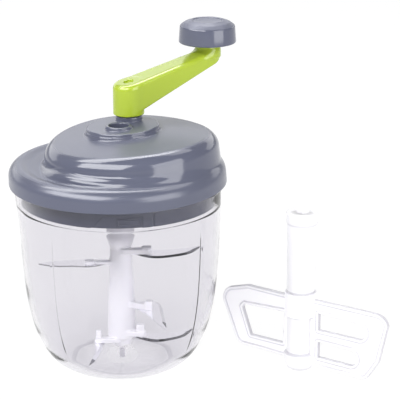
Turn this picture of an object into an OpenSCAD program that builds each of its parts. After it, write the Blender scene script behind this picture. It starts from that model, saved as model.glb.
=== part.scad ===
// Hand-crank food chopper: clear bowl, geared lid with crank and knob,
// bladed rotor, and a loose mixing paddle that fits in place of the rotor.
// Millimetres, +Z up, origin at the centre of the bowl's foot on the table.

/* [Bowl] */
// Height of the bowl's open edge above the table
bowl_h = 135.2; // [134.6:0.1:135.3]
// Wall thickness of the clear bowl
bowl_wall = 2.5; // [2.1:0.1:2.7]
// How far the pour spout stands out of the wall at the edge
spout_out = 3.4; // [2.6:0.2:3.6]
// Radius of the steel pivot pin in the floor
pivot_r = 2.5; // [2:0.1:3]

/* [Lid] */
// Radius of the lid's rim
rim_r = 75.25; // [74.6:0.05:75.6]
// Height of the underside of the rim above the table
rim_z = 135.5; // [135.5:0.1:135.8]
// Radius of the gear housing that rises off the rim
dome_r = 60.8; // [58:0.2:61]
// Slope of the housing's top, higher on the right
dome_tilt = 4.3; // [3:0.1:5]
// Radius of the raised platform under the crank
plate_r = 25.3; // [24:0.1:26]
// Outer radius of the plug ring that enters the bowl
plug_r = 68.2; // [67.8:0.1:68.2]

/* [Drive] */
// Teeth on the gear turned by the crank
gear_teeth = 32; // [32]
// Teeth on the pinion that turns the rotor
pinion_teeth = 12; // [12]
// Width of the gear teeth
face_w = 7; // [5:0.5:8]
// Radius of the steel crank shaft
shaft_r = 4; // [3.5:0.1:4]

/* [Crank] */
// Distance from the crank axis to the knob axis
crank_len = 70.7; // [60:0.1:75]
// Direction of the crank arm at rest, degrees from +X
crank_a = 38.5; // [0:0.5:360]
// Radius of the crank hub and half the width of the arm
hub_r = 10.9; // [10.5:0.1:11.2]
// Radius of the knob at its lower edge
knob_r = 20.8; // [19:0.1:22]

/* [Rotor] */
// Radius of the blade column at its foot
column_r = 10.2; // [9.8:0.1:10.4]
// Thickness of the steel blades
blade_t = 1; // [0.8:0.1:1.2]
// Reach of the upper blades from the axis
blade_reach = 57; // [52:0.5:58]

/* [Paddle] */
// Height of the mixing paddle
paddle_h = 118; // [110:1:120]
// Thickness of the paddle's wings
wing_t = 4; // [3:0.5:5]

/* [Hidden] */
$fn = 64;

slate = [0.43, 0.46, 0.54];
dark_slate = [0.2, 0.22, 0.28];
lime = [0.75, 0.88, 0.24];
steel = [0.78, 0.79, 0.8];
white = [0.96, 0.96, 0.97];
clear = [0.86, 0.85, 0.9, 0.4];

// The crank axis stands 22 mm from the rotor axis, the sum of the gears' pitch radii.
module_m = 1;
centre_d = module_m * (gear_teeth + pinion_teeth) / 2;
crank_x = 6.3;
crank_y = sqrt(centre_d * centre_d - crank_x * crank_x);
rim_x = -1.9;
dome_x = 8;
dome_y = 2;
plate_x = 2.4;
plate_y = 8;
plate_z = 174;
hub_z = 179;
knob_z = 220.7;
gear_z = 151;
gear_plate_z = 143;
spout_x = -30;
// The paddle stands beside the bowl, turned so that its right wing is nearer the viewer.
paddle_x = 127.5;
paddle_y = -13.8;
paddle_a = -35;

function arc(cx, cz, r, a0, a1, n) =
    [for (i = [0:n]) let (a = a0 + (a1 - a0) * i / n) [cx + r * cos(a), cz + r * sin(a)]];
// Smooth stroke from a to d, drawn towards the handles b and c; d itself is left to the next stroke.
function stroke(a, b, c, d, n = 9) =
    [for (i = [0:n - 1]) let (t = i / n, u = 1 - t) u * u * u * a + 3 * u * u * t * b + 3 * u * t * t * c + t * t * t * d];
function shift(pts, dx) = [for (p = pts) [p[0] + dx, p[1]]];

// ---------------------------------------------------------------- bowl
// The wall is drawn as two smooth strokes: round the foot, then up the side.
bowl_outer = concat([[0, 0]],
    stroke([33.6, 0], [48, 3.4], [56.4, 13.8], [60.2, 25], 9), stroke([60.2, 25], [66.2, 39.5], [70.2, 70], [71.1, 125], 10),
    [[71.1, 125], [71.1, 132.6], [71.9, 133.2], [71.9, bowl_h], [0, bowl_h]]);
bowl_cavity = concat([[0, 4.2]],
    stroke([36, 4.2], [44.8, 5.8], [53.2, 15.5], [57.6, 26.8], 8), stroke([57.6, 26.8], [63.1, 40.9], [67.8, 66], [68, 121], 9),
    [[68, 121], [68.6, 121.6], [68.6, bowl_h + 1], [0, bowl_h + 1]]);

module bowl() {
    color(clear) difference() {
        union() {
            difference() {
                union() {
                    rotate_extrude($fn = 96) polygon(bowl_outer);
                    // short pour spout: a frustum whose axis lies inside the bowl
                    translate([spout_x, 0, 95]) cylinder(h = bowl_h - 95, r1 = 38.2, r2 = 41.1 + spout_out);
                }
                rotate_extrude($fn = 96) polygon(bowl_cavity);
                translate([spout_x, 0, 98.1]) cylinder(h = bowl_h - 97.1, r1 = 35.7, r2 = 38.7 + spout_out);
            }
            // four flow ribs down the inside of the wall
            for (a = [66, 145, 230, 326])
                rotate([0, 0, a - 1.1]) rotate_extrude(angle = 2.2, $fn = 96)
                    polygon([[53.4, 19], [55.8, 19.4], [58.4, 27], [61, 34.4], [62.8, 41.6], [65.4, 55.6],
                        [66.6, 65.4], [67.4, 75.3], [68.1, 87.2], [68.6, 100], [68.7, 114], [67.2, 114],
                        [67, 100], [66.5, 87.2], [65.8, 75.3], [65, 65.4], [63.8, 55.6], [61.2, 41.6],
                        [59.3, 34.4], [56.8, 27]]);
            // boss that carries the pivot pin
            translate([0, 0, 3.6]) cylinder(h = 8.9, r1 = 11, r2 = 6.5);
        }
        translate([0, 0, 2.4]) cylinder(h = 20, r = pivot_r);
    }
}

module pivot_pin() {
    color(steel) rotate_extrude()
        polygon([[0, 2.4], [pivot_r, 2.4], [pivot_r, 25.2], [pivot_r - 0.4, 26.2], [pivot_r - 1.2, 27],
            [0, 27.3]]);
}

// ---------------------------------------------------------------- lid
function rim_skin(o, z0) = concat([[0, z0], [rim_r - o, z0]],
    arc(rim_r - 8, 142.3, 8 - o, 0, 90, 9), [[64, 150.2 - o], [61, 149 - o], [0, 149 - o]]);
function dome_skin(o, z0) = concat([[0, z0], [dome_r + 2.6 - o, z0], [dome_r + 1.2 - o, 154]],
    arc(dome_r - 6, 160.6, 6.4 - o, 8, 78, 8),
    [for (i = [1:6]) [(dome_r - 5.4) * (1 - i / 6), 166.9 - o + 2.6 * (1 - pow(1 - i / 6, 2))]]);

// the housing's top slopes up towards slope_a, so its solids turn about a line across the dome's centre
slope_a = -20;
module sloped() {
    translate([dome_x, dome_y, 167]) rotate([0, 0, slope_a]) rotate([0, -dome_tilt, 0]) translate([0, 0, -167]) children();
}
// rise of the sloped roof above the dome's centre at a point
function roof_rise(x, y) = ((x - dome_x) * cos(slope_a) + (y - dome_y) * sin(slope_a)) * tan(dome_tilt);
module plate_slope() {
    translate([plate_x, plate_y, plate_z]) rotate([0, -3.2, 0]) translate([0, 0, -plate_z]) children();
}
post_a = [75, 195, 315];
post_r = 40;
// [angle, height]: the first post hangs from the housing, the others from the rim
plug_posts = [[20, 31], [140, 10], [260, 10]];

module lid_cover() {
    color(slate) difference() {
        union() {
            difference() {
                union() {
                    translate([rim_x, 0, 0]) rotate_extrude($fn = 96) polygon(rim_skin(0, rim_z));
                    sloped() rotate_extrude($fn = 96) polygon(dome_skin(0, 144));
                    // low step between rim and housing, seen as a crescent at the front
                    translate([4, -2, 144]) cylinder(h = 8.6, r1 = 62.4, r2 = 60.6);
                    plate_slope() rotate_extrude() polygon([[0, 164], [plate_r + 0.9, 164],
                        [plate_r + 0.9, 171], [plate_r, 171.6], [plate_r, 173.2], [plate_r - 0.8, 174],
                        [0, 174]]);
                    translate([0, 0, 164]) cylinder(h = 12, r = 9.2);
                    translate([crank_x, crank_y, 164]) cylinder(h = 14.3, r = 9.4);
                }
                translate([rim_x, 0, 0]) rotate_extrude($fn = 96) polygon(rim_skin(2.6, rim_z - 1));
                sloped() rotate_extrude($fn = 96) polygon(dome_skin(2.6, 140));
            }
            // bearing tubes hanging from the roof
            translate([0, 0, 161.5]) cylinder(h = 8, r = 9.2);
            translate([crank_x, crank_y, 161.5]) cylinder(h = 8, r = 9.4);
            // posts for the gear plate and for the plug ring
            for (a = post_a) translate([crank_x / 2 + post_r * cos(a), crank_y / 2 + post_r * sin(a), gear_plate_z + 2.5])
                cylinder(h = 20.6 + roof_rise(crank_x / 2 + post_r * cos(a), crank_y / 2 + post_r * sin(a)), r = 3.6);
            for (q = plug_posts) translate([62 * cos(q[0]), 62 * sin(q[0]), 138])
                cylinder(h = q[1], r = 3.6);
        }
        // running holes
        translate([0, 0, 155]) cylinder(h = 14.3, r = 6.2);
        translate([0, 0, 169.3]) cylinder(h = 20, r = 6.9);
        translate([crank_x, crank_y, 155]) cylinder(h = 30, r = 6);
        for (a = post_a) translate([crank_x / 2 + post_r * cos(a), crank_y / 2 + post_r * sin(a), gear_plate_z - 2])
            cylinder(h = 13, r = 1.5);
        for (q = plug_posts) translate([62 * cos(q[0]), 62 * sin(q[0]), 130])
            cylinder(h = 15.5, r = 1.5);
    }
}

// plug ring: floor of the lid, with a skirt that enters the bowl
module plug_ring() {
    color(dark_slate) difference() {
        rotate_extrude($fn = 96) polygon([[0, 135.5], [65.2, 135.5], [65.6, 123.5], [plug_r - 0.4, 123.5],
            [plug_r, 123.9], [plug_r, 135.5], [70.5, 135.5], [70.5, 137.8], [0, 138]]);
        translate([0, 0, 130]) cylinder(h = 12, r = 7.6);
        for (q = plug_posts) translate([62 * cos(q[0]), 62 * sin(q[0]), 130]) cylinder(h = 12, r = 1.7);
        for (q = plug_posts) translate([62 * cos(q[0]), 62 * sin(q[0]), 134.5]) cylinder(h = 3.6, r1 = 4.2, r2 = 1.7);
    }
}

// one countersunk screw, its head downward, its length given
module screw_up(l, r) {
    translate([0, 0, 0]) cylinder(h = 2.4, r1 = 3, r2 = r);
    translate([0, 0, 2]) cylinder(h = l - 2, r = r);
}

module plug_ring_screws() {
    color(steel) for (q = plug_posts) translate([62 * cos(q[0]), 62 * sin(q[0]), 135.6])
        difference() {
            screw_up(9, 1.5);
            for (k = [0, 90]) rotate([0, 0, k]) translate([-1.6, -0.3, -0.1]) cube([3.2, 0.6, 1]);
        }
}

module gear_plate() {
    color(dark_slate) difference() {
        union() {
            translate([crank_x / 2, crank_y / 2, gear_plate_z]) cylinder(h = 2.5, r = 45.5);
            translate([0, 0, gear_plate_z - 2]) cylinder(h = 6, r = 8.4);
            translate([crank_x, crank_y, gear_plate_z - 2]) cylinder(h = 6, r = 8.4);
        }
        translate([0, 0, gear_plate_z - 3]) cylinder(h = 9, r = 6);
        translate([crank_x, crank_y, gear_plate_z - 3]) cylinder(h = 9, r = 6);
        for (a = post_a) translate([crank_x / 2 + post_r * cos(a), crank_y / 2 + post_r * sin(a), gear_plate_z - 1])
            cylinder(h = 5, r = 1.7);
    }
}

module gear_plate_screws() {
    color(steel) for (a = post_a)
        translate([crank_x / 2 + post_r * cos(a), crank_y / 2 + post_r * sin(a), gear_plate_z - 1.8])
            difference() {
                union() {
                    cylinder(h = 1.8, r = 3);
                    cylinder(h = 12, r = 1.5);
                }
                for (q = [0, 90]) rotate([0, 0, q]) translate([-1.6, -0.3, -0.1]) cube([3.2, 0.6, 1]);
            }
}

// flanged bush; the flange is at the bottom when flip is 0, at the top when it is 1
module bush(h, ro, ri, rf, flip) {
    difference() {
        union() {
            cylinder(h = h, r = ro);
            translate([0, 0, flip * (h - 1.2)]) cylinder(h = 1.2, r = rf);
        }
        translate([0, 0, -1]) cylinder(h = h + 2, r = ri);
    }
}
module crank_bush() {
    color(white) translate([crank_x, crank_y, 160.3]) bush(18, 6, shaft_r + 0.05, 8.4, 0);
}
module crank_bush_bottom() {
    color(white) translate([crank_x, crank_y, gear_plate_z - 2]) bush(7.2, 6, shaft_r + 0.05, 8, 1);
}
module spindle_bush_top() {
    color(white) translate([0, 0, 160.3]) bush(9, 6.2, 4.55, 8.6, 0);
}
module spindle_bush_bottom() {
    color(white) translate([0, 0, gear_plate_z - 2]) bush(7.2, 6, 4.55, 8, 1);
}

// ---------------------------------------------------------------- gears
// straight-flanked tooth ring with a chosen backlash
function gear_outline(z, tip, root, half_tip, half_pitch, half_root) = [
    for (i = [0:z - 1]) let (a = 360 * i / z)
        for (q = [[root, -half_root], [z * module_m / 2, -half_pitch], [tip, -half_tip],
                [tip, half_tip], [z * module_m / 2, half_pitch], [root, half_root]])
            [q[0] * cos(a + q[1]), q[0] * sin(a + q[1])]
];
// The pinion has a tooth, and the gear a gap, on the line between the two axes.
mesh_a = atan2(-crank_y, -crank_x);

module crank_gear() {
    color(white) translate([crank_x, crank_y, gear_z]) difference() {
        union() {
            rotate([0, 0, mesh_a + 180 / gear_teeth]) linear_extrude(height = face_w)
                polygon(gear_outline(gear_teeth, 16.85, 14.7, 0.95, 2.35, 3.6));
            translate([0, 0, -1.6]) cylinder(h = face_w + 3, r = 7);
        }
        translate([0, 0, -3]) cylinder(h = face_w + 8, r = shaft_r);
        for (a = [0:60:300]) rotate([0, 0, a]) translate([10.6, 0, -1]) cylinder(h = face_w + 2, r = 2.2);
    }
}

module drive_spindle() {
    color(white) difference() {
        union() {
            rotate([0, 0, mesh_a + 180]) translate([0, 0, gear_z - 0.5]) linear_extrude(height = face_w + 1)
                polygon(gear_outline(pinion_teeth, 6.85, 4.7, 2.2, 6.3, 9));
            translate([0, 0, 132]) cylinder(h = 37, r = 4.5);
            translate([0, 0, 149.2]) cylinder(h = 1.4, r = 6.4);
            // hexagonal driver that drops into the rotor
            translate([0, 0, 108]) cylinder(h = 25, r = 4.6, $fn = 6);
        }
        // hexagonal socket in the top end, seen down the collar
        translate([0, 0, 161]) cylinder(h = 9, r = 3.4, $fn = 6);
    }
}

// ---------------------------------------------------------------- crank
module crank_shaft() {
    color(steel) translate([crank_x, crank_y, 0]) difference() {
        union() {
            translate([0, 0, 141.2]) cylinder(h = 41.8, r = shaft_r);
            translate([0, 0, 140]) cylinder(h = 1.2, r = shaft_r - 0.6);
            // square end that carries the arm
            rotate([0, 0, crank_a]) translate([-2.8, -2.8, 182]) cube([5.6, 5.6, 15]);
        }
        translate([0, 0, 185]) cylinder(h = 13, r = 1.6);
    }
}

arm_top = 202;
arm_rise = 0.185;
end_r = 9.5;
module crank_arm() {
    color(lime) translate([crank_x, crank_y, 0]) rotate([0, 0, crank_a]) difference() {
        union() {
            intersection() {
                union() {
                    translate([0, 0, hub_z]) cylinder(h = 50, r = hub_r);
                    translate([0, 0, hub_z]) linear_extrude(height = 50)
                        polygon([[0, -hub_r], [crank_len, -end_r], [crank_len, end_r], [0, hub_r]]);
                    translate([crank_len, 0, hub_z]) cylinder(h = 50, r = end_r);
                }
                // side outline: hub, rising bar, tapering underside
                rotate([90, 0, 0]) translate([0, 0, -20]) linear_extrude(height = 40)
                    polygon([[-12, hub_z], [hub_r + 0.1, hub_z], [hub_r + 0.1, 184.4], [hub_r + 1.6, 185.6],
                        [crank_len - 4, 204.3], [crank_len + 6, 207.7], [crank_len + hub_r + 1, 210],
                        [crank_len + hub_r + 1, arm_top + arm_rise * (crank_len + hub_r) - 0.4],
                        [crank_len + hub_r - 1, arm_top + arm_rise * (crank_len + hub_r - 1)],
                        [-7.6, arm_top - 1.4], [-10, arm_top - 2.8], [-12, arm_top - 5.6]]);
            }
            // raised seat below the knob
            translate([crank_len, 0, 210]) cylinder(h = knob_z - 210.6, r1 = end_r, r2 = end_r - 0.3);
        }
        // square socket and screw bore in the hub
        translate([-2.8, -2.8, hub_z - 1]) cube([5.6, 5.6, 19]);
        translate([0, 0, hub_z - 1]) cylinder(h = 5, r = shaft_r);
        translate([0, 0, 190]) cylinder(h = 20, r = 1.8);
        translate([0, 0, 198.2]) cylinder(h = 20, r = 3.4);
        // bore for the knob post
        translate([crank_len, 0, 211.4]) cylinder(h = 20, r = 3);
    }
}
module crank_screw() {
    color(steel) translate([crank_x, crank_y, 0]) difference() {
        union() {
            translate([0, 0, 186.4]) cylinder(h = 12, r = 1.6);
            translate([0, 0, 198.2]) cylinder(h = 1.8, r = 3);
        }
        for (q = [0, 90]) rotate([0, 0, q]) translate([-1.8, -0.3, 199]) cube([3.6, 0.6, 2]);
    }
}
module crank_screw_plug() {
    color(lime) translate([crank_x, crank_y, 0]) rotate([0, 0, crank_a]) intersection() {
        translate([0, 0, 200.2]) cylinder(h = 3, r = 3.4);
        rotate([0, -atan(arm_rise), 0]) translate([arm_top * sin(atan(arm_rise)) - 10, -10, 100])
            cube([40, 20, arm_top * cos(atan(arm_rise)) - 100.9]);
    }
}
module at_knob() {
    translate([crank_x + crank_len * cos(crank_a), crank_y + crank_len * sin(crank_a), 0]) children();
}
module knob_post() {
    color(steel) at_knob() difference() {
        union() {
            translate([0, 0, 211.4]) cylinder(h = 22, r = 3);
            translate([0, 0, 231.8]) cylinder(h = 1.6, r = 5);
        }
        for (q = [0, 90]) rotate([0, 0, q]) translate([-2, -0.35, 232.8]) cube([4, 0.7, 2]);
    }
}
module knob() {
    color(slate) at_knob() difference() {
        rotate_extrude() polygon(concat([[0, knob_z], [knob_r - 1.2, knob_z], [knob_r, knob_z + 1.2], [knob_r - 0.8, knob_z + 11.2]],
            arc(knob_r - 2.6, knob_z + 11.6, 1.8, 0, 66, 4), [[12.4, knob_z + 16.6], [11.6, knob_z + 16.3], [11.2, knob_z + 15.4], [0, knob_z + 15.4]]));
        // hollow underside, spindle tube with a seat for the post's head
        translate([0, 0, knob_z - 1]) cylinder(h = 30, r = 3.06);
        translate([0, 0, knob_z + 11]) cylinder(h = 10, r = 5.6);
        translate([0, 0, knob_z + 14]) cylinder(h = 10, r = 10.6);
        difference() {
            translate([0, 0, knob_z - 1]) cylinder(h = 9, r = knob_r - 2.6);
            translate([0, 0, knob_z - 2]) cylinder(h = 20, r = 6);
        }
    }
}
module knob_cap() {
    color(slate) at_knob() rotate_extrude() polygon([[0, knob_z + 14], [10.4, knob_z + 14],
        [10.4, knob_z + 15.6], [9.6, knob_z + 15.5], [5, knob_z + 15.1], [0, knob_z + 15]]);
}

// ---------------------------------------------------------------- rotor
// Sickle blade along +X: cutting edge on the -Y side, tip turned to +Y.
sickle = concat(stroke([9.9, -5], [24, -19], [46, -17], [blade_reach, 10]), stroke([blade_reach, 10], [49, 1.6], [26, 2], [10.8, -1.6]), [[10.8, -1.6]]);
// outlines seen from above: the upper two and the low right one reach sideways, the middle one and the low front one forward
outline_right = sickle;
outline_left = concat(stroke([-9.8, 7.5], [-24, 12.5], [-46, 6.5], [-58.5, -2.9]),
    stroke([-58.5, -2.9], [-46, -8.8], [-25, -9.4], [-10.8, -2]), [[-10.8, -2]]);
outline_middle = concat(stroke([9.8, -7.5], [18, -17], [25, -34], [33, -47.6]),
    stroke([33, -47.6], [32, -14], [31, 28], [10.9, -2]), [[10.9, -2]]);
outline_low_right = [for (p = sickle) let (x = p[0] < 20 ? p[0] : 20 + (p[0] - 20) * 0.86, y = p[1] * 0.9) [x - y * 0.02, y + x * 0.02]];
outline_low_front = concat(stroke([-12.5, -1.6], [-27, -1], [-15, -28], [-20.4, -47]),
    stroke([-20.4, -47], [-15, -34], [-13, -20], [-11.5, -4.5]), [[-11.5, -4.5]]);
// [blade's underside, arm's underside, arm from x, y, direction, length, half width, height,
//  block centre x, y, block size x, y, block height, stub x, y]
blade_set = [
    [84, 85, 3, -7, 0, 16.2, 2.8, 4, 18.5, -6.2, 7.1, 5.6, 5.2, 18.5, -6.2],
    [74.6, 75.6, -3, -2.8, 180, 16.5, 2.2, 2.4, -22, -3.8, 7.1, 6, 3.2, -18, -2.8],
    [42.6, 43.6, 3, -3, -24, 16.5, 2.8, 4.4, 19.9, -11, 5.6, 5, 7.2, 17.6, -9.5],
    [19.6, 22.2, 3, -7, 0, 12.1, 2.8, 3.8, 13.6, -6.4, 5.6, 5, 8.6, 14.5, -5.6],
    [16.6, 17.6, -3, -7.4, 184, 13.1, 2.8, 3.4, -16.2, -8, 3.8, 3.8, 9, -15.9, -8.1]];
module blade_column() {
    color(white) difference() {
        union() {
            rotate_extrude() polygon([[0, 14.2], [6.9, 14.2], [7.3, 14.6], [7.4, 18], [column_r, 20.6], [column_r, 24],
                [9.7, 40], [8.6, 67], [7.9, 80], [7.5, 88], [9.9, 95.6], [10, 97], [10, 119.4], [9.4, 120], [0, 120]]);
            for (b = blade_set) {
                translate([b[2], b[3], b[1]]) rotate([0, 0, b[4]]) {
                    translate([0, -b[6], 0]) cube([b[5], 2 * b[6], b[7]]);
                    translate([b[5], 0, 0]) cylinder(h = b[7], r = b[6]);
                }
                translate([b[8] - b[10] / 2, b[9] - b[11] / 2, b[1]]) cube([b[10], b[11], b[12]]);
                // stub that the blade hangs on
                translate([b[13], b[14], b[0]]) cylinder(h = b[1] - b[0] + 1, r = 1.4);
                if (b[1] - b[0] > 1.1) translate([b[13], b[14], b[0] + blade_t]) cylinder(h = b[1] - b[0], r = 2.2);
            }
        }
        // hexagonal socket for the driver, and the bush bore for the pivot pin
        translate([0, 0, 105.5]) cylinder(h = 16, r = 5.0, $fn = 6);
        translate([0, 0, 13]) cylinder(h = 17, r = 4.2);
    }
}
module column_bush() {
    color(dark_slate) translate([0, 0, 14.2]) difference() {
        cylinder(h = 15.8, r = 4.2);
        translate([0, 0, -1]) cylinder(h = 14.4, r = pivot_r + 0.05);
    }
}

module blade(i, outline) {
    b = blade_set[i];
    color(steel) translate([0, 0, b[0]]) difference() {
        linear_extrude(height = blade_t) polygon(outline);
        translate([0, 0, -1]) cylinder(h = 4, r = column_r + 0.6);
        translate([b[13], b[14], -1]) cylinder(h = 4, r = 1.4);
    }
}
module blade_top_right() { blade(0, outline_right); }
module blade_top_left() { blade(1, outline_left); }
module blade_middle() { blade(2, outline_middle); }
module blade_low_right() { blade(3, outline_low_right); }
module blade_low_front() { blade(4, outline_low_front); }

// ---------------------------------------------------------------- paddle
module at_paddle() {
    translate([paddle_x, paddle_y, 0]) rotate([0, 0, paddle_a]) children();
}
module paddle_column() {
    color(white) at_paddle() difference() {
        rotate_extrude() polygon([[0, 0], [6, 0], [9, 1.6], [10.6, 4.6], [11, 8], [11, 12.6], [9.2, 13],
            [9.2, 40.9], [9.4, 41.2], [9.4, 59], [9.9, 59.4], [10.4, paddle_h - 8], [0, paddle_h - 8]]);
        // pivot bore below, hexagonal socket above
        translate([0, 0, -1]) cylinder(h = 27, r = pivot_r + 0.05);
        translate([0, 0, paddle_h - 20]) cylinder(h = 16, r = 5.0, $fn = 6);
    }
}
module paddle_cap() {
    color(white) at_paddle() difference() {
        rotate_extrude() polygon([[0, paddle_h - 8], [11, paddle_h - 8], [11.4, paddle_h - 1], [10.8, paddle_h], [0, paddle_h]]);
        translate([0, 0, paddle_h - 9]) cylinder(h = 12, r = 5.0, $fn = 6);
    }
}
// outline of the two wings as drawn on their plane: x outward, y up; corners rounded with discs
module rounded(pts, r) {
    offset(r) offset(-r) polygon(pts);
}
module paddle_wings() {
    color(white) at_paddle() difference() {
        union() {
            // sleeve round the column
            translate([0, 0, 41.2]) cylinder(h = 17.8, r = 11.2);
            rotate([90, 0, 0]) translate([0, 0, -wing_t / 2]) linear_extrude(height = wing_t) difference() {
                union() {
                    polygon(concat([[9.3, 5], [9.3, 54.8], [50, 55.4]], arc(61.4, 45.6, 9.8, 88, 16, 6),
                        [[64.6, 20]], arc(50.4, 12.4, 8, -28, -84, 5)));
                    polygon(concat([[-9.3, 54], [-9.3, 6.6]], [[-40, 7.2]], arc(-46.6, 15, 8, -100, -160, 5),
                        arc(-55.4, 40.4, 10, 188, 112, 6), [[-44, 54.2]]));
                }
                polygon(concat([[16, 33], [16, 45.4]], arc(48, 39.4, 6, 88, -90, 10)));
                polygon(concat([[16, 12.4], [16, 24]], arc(41.6, 18.2, 5.8, 88, -88, 10)));
                polygon([[-13, 40], [-46, 38.2], [-47.6, 36.4], [-40.4, 17], [-14, 17.2]]);
            }
        }
        translate([0, 0, -1]) cylinder(h = 42, r = 9.4);
        translate([0, 0, 30]) cylinder(h = 40, r = 9.4);
        // room for the wider foot of the column
        translate([0, 0, -1]) cylinder(h = 14.1, r = 11.05);
    }
}

bowl();
pivot_pin();
lid_cover();
plug_ring();
gear_plate();
gear_plate_screws();
plug_ring_screws();
crank_bush();
spindle_bush_top();
spindle_bush_bottom();
crank_bush_bottom();
crank_shaft();
crank_gear();
crank_arm();
crank_screw();
crank_screw_plug();
knob_post();
knob();
knob_cap();
drive_spindle();
blade_column();
column_bush();
blade_top_right();
blade_top_left();
blade_middle();
blade_low_right();
blade_low_front();
paddle_column();
paddle_wings();
paddle_cap();
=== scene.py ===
import math

import bmesh
import bpy
import numpy as np
from mathutils import Matrix, Vector


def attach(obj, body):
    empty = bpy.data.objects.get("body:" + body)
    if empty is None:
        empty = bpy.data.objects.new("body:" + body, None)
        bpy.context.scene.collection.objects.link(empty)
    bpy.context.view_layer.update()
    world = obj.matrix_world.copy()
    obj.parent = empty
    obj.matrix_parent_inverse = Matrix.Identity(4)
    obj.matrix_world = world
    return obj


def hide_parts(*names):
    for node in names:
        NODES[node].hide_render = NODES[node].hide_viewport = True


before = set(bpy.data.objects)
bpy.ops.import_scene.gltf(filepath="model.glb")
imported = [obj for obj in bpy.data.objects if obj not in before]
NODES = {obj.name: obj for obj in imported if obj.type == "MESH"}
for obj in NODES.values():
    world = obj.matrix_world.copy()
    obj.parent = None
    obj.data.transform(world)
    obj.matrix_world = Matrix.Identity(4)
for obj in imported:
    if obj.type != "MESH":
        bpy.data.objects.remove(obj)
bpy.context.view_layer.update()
scene = bpy.context.scene
MM = 0.001
pi = math.pi


# ------------------------------------------------------------------ materials
def new_mat(name):
    m = bpy.data.materials.new(name)
    m.use_nodes = True
    nt = m.node_tree
    nt.nodes.clear()
    out = nt.nodes.new("ShaderNodeOutputMaterial")
    b = nt.nodes.new("ShaderNodeBsdfPrincipled")
    nt.links.new(b.outputs[0], out.inputs[0])
    return m, nt, b


def coords(nt, scale):
    tc = nt.nodes.new("ShaderNodeTexCoord")
    mp = nt.nodes.new("ShaderNodeMapping")
    mp.inputs["Scale"].default_value = scale
    nt.links.new(tc.outputs["Object"], mp.inputs["Vector"])
    return mp.outputs["Vector"]


def noise(nt, vec, scale, detail=3.0, rough=0.5):
    n = nt.nodes.new("ShaderNodeTexNoise")
    n.inputs["Scale"].default_value = scale
    n.inputs["Detail"].default_value = detail
    n.inputs["Roughness"].default_value = rough
    nt.links.new(vec, n.inputs["Vector"])
    return n.outputs["Fac"]


def ramp(nt, fac, stops):
    r = nt.nodes.new("ShaderNodeValToRGB")
    els = r.color_ramp.elements
    while len(els) < len(stops):
        els.new(0.5)
    for e, (p, c) in zip(els, stops):
        e.position = p
        e.color = (*c, 1) if len(c) == 3 else c
    nt.links.new(fac, r.inputs["Fac"])
    return r.outputs["Color"]


def remap(nt, fac, a, b):
    m = nt.nodes.new("ShaderNodeMapRange")
    m.inputs["To Min"].default_value = a
    m.inputs["To Max"].default_value = b
    nt.links.new(fac, m.inputs["Value"])
    return m.outputs["Result"]


def bump(nt, height, strength, dist):
    b = nt.nodes.new("ShaderNodeBump")
    b.inputs["Strength"].default_value = strength
    b.inputs["Distance"].default_value = dist
    nt.links.new(height, b.inputs["Height"])
    return b.outputs["Normal"]


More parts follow.
